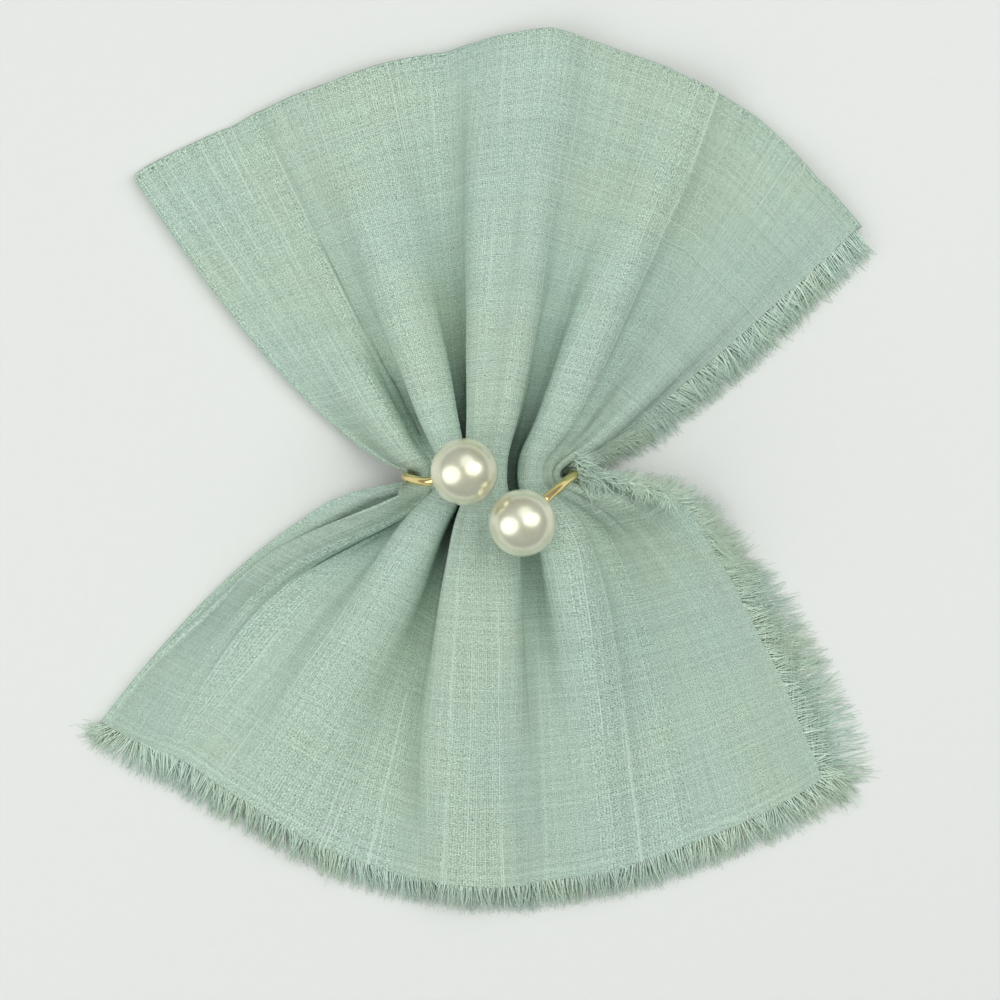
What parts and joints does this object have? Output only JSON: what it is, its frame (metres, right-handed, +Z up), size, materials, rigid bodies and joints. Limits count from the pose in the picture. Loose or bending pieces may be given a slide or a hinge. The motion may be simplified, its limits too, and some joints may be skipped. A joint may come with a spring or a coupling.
{
  "type": "cloth napkin in a ring",
  "caption": "Folded and fringed gauze napkin, pinched at its middle into two fans by an open wire ring tipped with pearls.",
  "frame": {"origin": "bottom centre of the whole object, on the surface it lies on", "axes": "+X to the right and +Y towards the top of the napkin as seen from straight above, +Z up"},
  "size_m": [0.225, 0.2646, 0.0486],
  "materials": {
    "gauze": "plain-weave gauze linen, pale sage green, matt",
    "frayed_thread": "loose frayed thread of the same gauze, matt",
    "gold_wire": "polished gold-coloured plating",
    "pearl": "cream pearl lustre, glossy"
  },
  "bodies": {
    "root": {"napkin_cloth": "gauze", "fringe_bottom_upper": "frayed_thread", "fringe_bottom_lower": "frayed_thread", "fringe_right_bottom_upper": "frayed_thread", "fringe_right_bottom_lower": "frayed_thread", "fringe_right_top_upper": "frayed_thread", "fringe_right_top_lower": "frayed_thread", "ring_wire": "gold_wire", "pearl_one": "pearl", "pearl_two": "pearl"}
  },
  "joints": []
}
